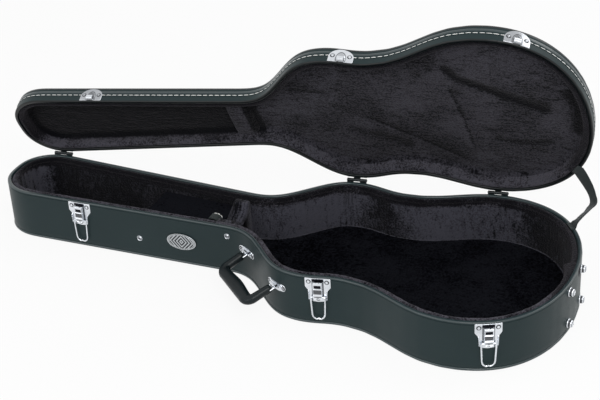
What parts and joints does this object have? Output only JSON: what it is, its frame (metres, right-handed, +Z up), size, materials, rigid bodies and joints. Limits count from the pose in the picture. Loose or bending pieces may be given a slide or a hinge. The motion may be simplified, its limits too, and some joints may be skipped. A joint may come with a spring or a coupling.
{
  "type": "acoustic guitar case",
  "caption": "Hard case for an acoustic guitar, plush-lined, standing open: hinged lid, draw latches, swinging handle, accessory compartment with a flap, and a webbing stay strap.",
  "frame": {"origin": "middle of the bottom panel, on the face that the case rests on", "axes": "+X along the case from the head end to the butt end, +Y towards the hinges, away from the latches and the handle, +Z up"},
  "size_m": [1.1033, 0.4373, 0.4776],
  "materials": {
    "vinyl": "grained vinyl over a wooden shell, satin",
    "trim": "smooth vinyl edging, satin",
    "plush": "short plush pile over foam",
    "webbing": "woven webbing",
    "handle": "moulded grip, satin",
    "black_steel": "black painted steel",
    "chrome": "bright plated steel"
  },
  "bodies": {
    "base": {"base_bottom_panel": "vinyl", "base_side_wall": "vinyl", "base_bottom_welt": "trim", "base_rim_trim": "trim", "base_side_lining": "plush", "base_floor_lining": "plush", "neck_rest": "plush", "compartment_head_wall": "plush", "lid_stay_strap": "webbing", "hinge_base_leaf_1": "black_steel", "hinge_base_leaf_2": "black_steel", "hinge_base_leaf_3": "black_steel", "hinge_pin_1": "black_steel", "hinge_pin_2": "black_steel", "hinge_pin_3": "black_steel", "badge_plate": "chrome", "compartment_screw_1": "chrome", "compartment_screw_2": "chrome", "compartment_screw_3": "chrome", "butt_foot_1": "chrome", "butt_foot_2": "chrome", "butt_foot_3": "chrome", "butt_foot_4": "chrome", "spine_foot_1": "chrome", "spine_foot_2": "chrome", "spine_foot_3": "chrome", "spine_foot_4": "chrome", "latch_plate_1": "chrome", "latch_plate_2": "chrome", "latch_plate_3": "chrome", "handle_bracket_1": "chrome", "handle_bracket_2": "chrome"},
    "lid": {"lid_side_wall": "vinyl", "lid_top_panel": "vinyl", "lid_edge_welt": "vinyl", "lid_rim_trim": "trim", "lid_side_lining": "plush", "lid_top_lining": "plush", "lid_neck_pad": "plush", "catch_plate_1": "chrome", "catch_plate_2": "chrome", "catch_plate_3": "chrome", "hinge_lid_leaf_1": "black_steel", "hinge_lid_leaf_2": "black_steel", "hinge_lid_leaf_3": "black_steel"},
    "latch_1_lever": {"latch_lever_1": "chrome"},
    "latch_1_bail": {"latch_bail_1": "chrome"},
    "latch_2_lever": {"latch_lever_2": "chrome"},
    "latch_2_bail": {"latch_bail_2": "chrome"},
    "latch_3_lever": {"latch_lever_3": "chrome"},
    "latch_3_bail": {"latch_bail_3": "chrome"},
    "handle": {"handle_grip": "handle", "handle_loop_1": "chrome", "handle_loop_2": "chrome"},
    "compartment_flap": {"compartment_lid": "plush", "compartment_pull_tab": "webbing"}
  },
  "joints": [
    {"name": "lid_hinge", "type": "hinge", "parent": "base", "child": "lid", "pos_m": [-0.02165, 0.14617, 0.0958], "axis": [0.9892, 0.1465, 0], "range_deg": [-37.5, 67.5], "deforming": ["lid_stay_strap"]},
    {"name": "latch_1_lever_hinge", "type": "hinge", "parent": "base", "child": "latch_1_lever", "pos_m": [-0.36033, -0.07625, 0.0853], "axis": [-0.9994, -0.035, 0], "range_deg": [0, 150]},
    {"name": "latch_1_bail_hinge", "type": "hinge", "parent": "latch_1_lever", "child": "latch_1_bail", "pos_m": [-0.36033, -0.07625, 0.0583], "axis": [0.9994, 0.035, 0], "range_deg": [-182, 4]},
    {"name": "latch_2_lever_hinge", "type": "hinge", "parent": "base", "child": "latch_2_lever", "pos_m": [0.14678, -0.15856, 0.0853], "axis": [-0.9696, -0.2447, 0], "range_deg": [0, 150]},
    {"name": "latch_2_bail_hinge", "type": "hinge", "parent": "latch_2_lever", "child": "latch_2_bail", "pos_m": [0.14678, -0.15856, 0.0583], "axis": [0.9696, 0.2447, 0], "range_deg": [-182, 4]},
    {"name": "latch_3_lever_hinge", "type": "hinge", "parent": "base", "child": "latch_3_lever", "pos_m": [0.45059, -0.1865, 0.0853], "axis": [-0.8963, -0.4434, 0], "range_deg": [0, 150]},
    {"name": "latch_3_bail_hinge", "type": "hinge", "parent": "latch_3_lever", "child": "latch_3_bail", "pos_m": [0.45059, -0.1865, 0.0583], "axis": [0.8963, 0.4434, 0], "range_deg": [-182, 4]},
    {"name": "handle_swing", "type": "hinge", "parent": "base", "child": "handle", "pos_m": [0.01961, -0.11511, 0.06], "axis": [-0.7526, 0.6584, 0], "range_deg": [-45, 87]},
    {"name": "compartment_lid_hinge", "type": "hinge", "parent": "base", "child": "compartment_flap", "pos_m": [-0.2465, 0, 0.068], "axis": [0, 1, 0], "range_deg": [-100, 0]}
  ]
}
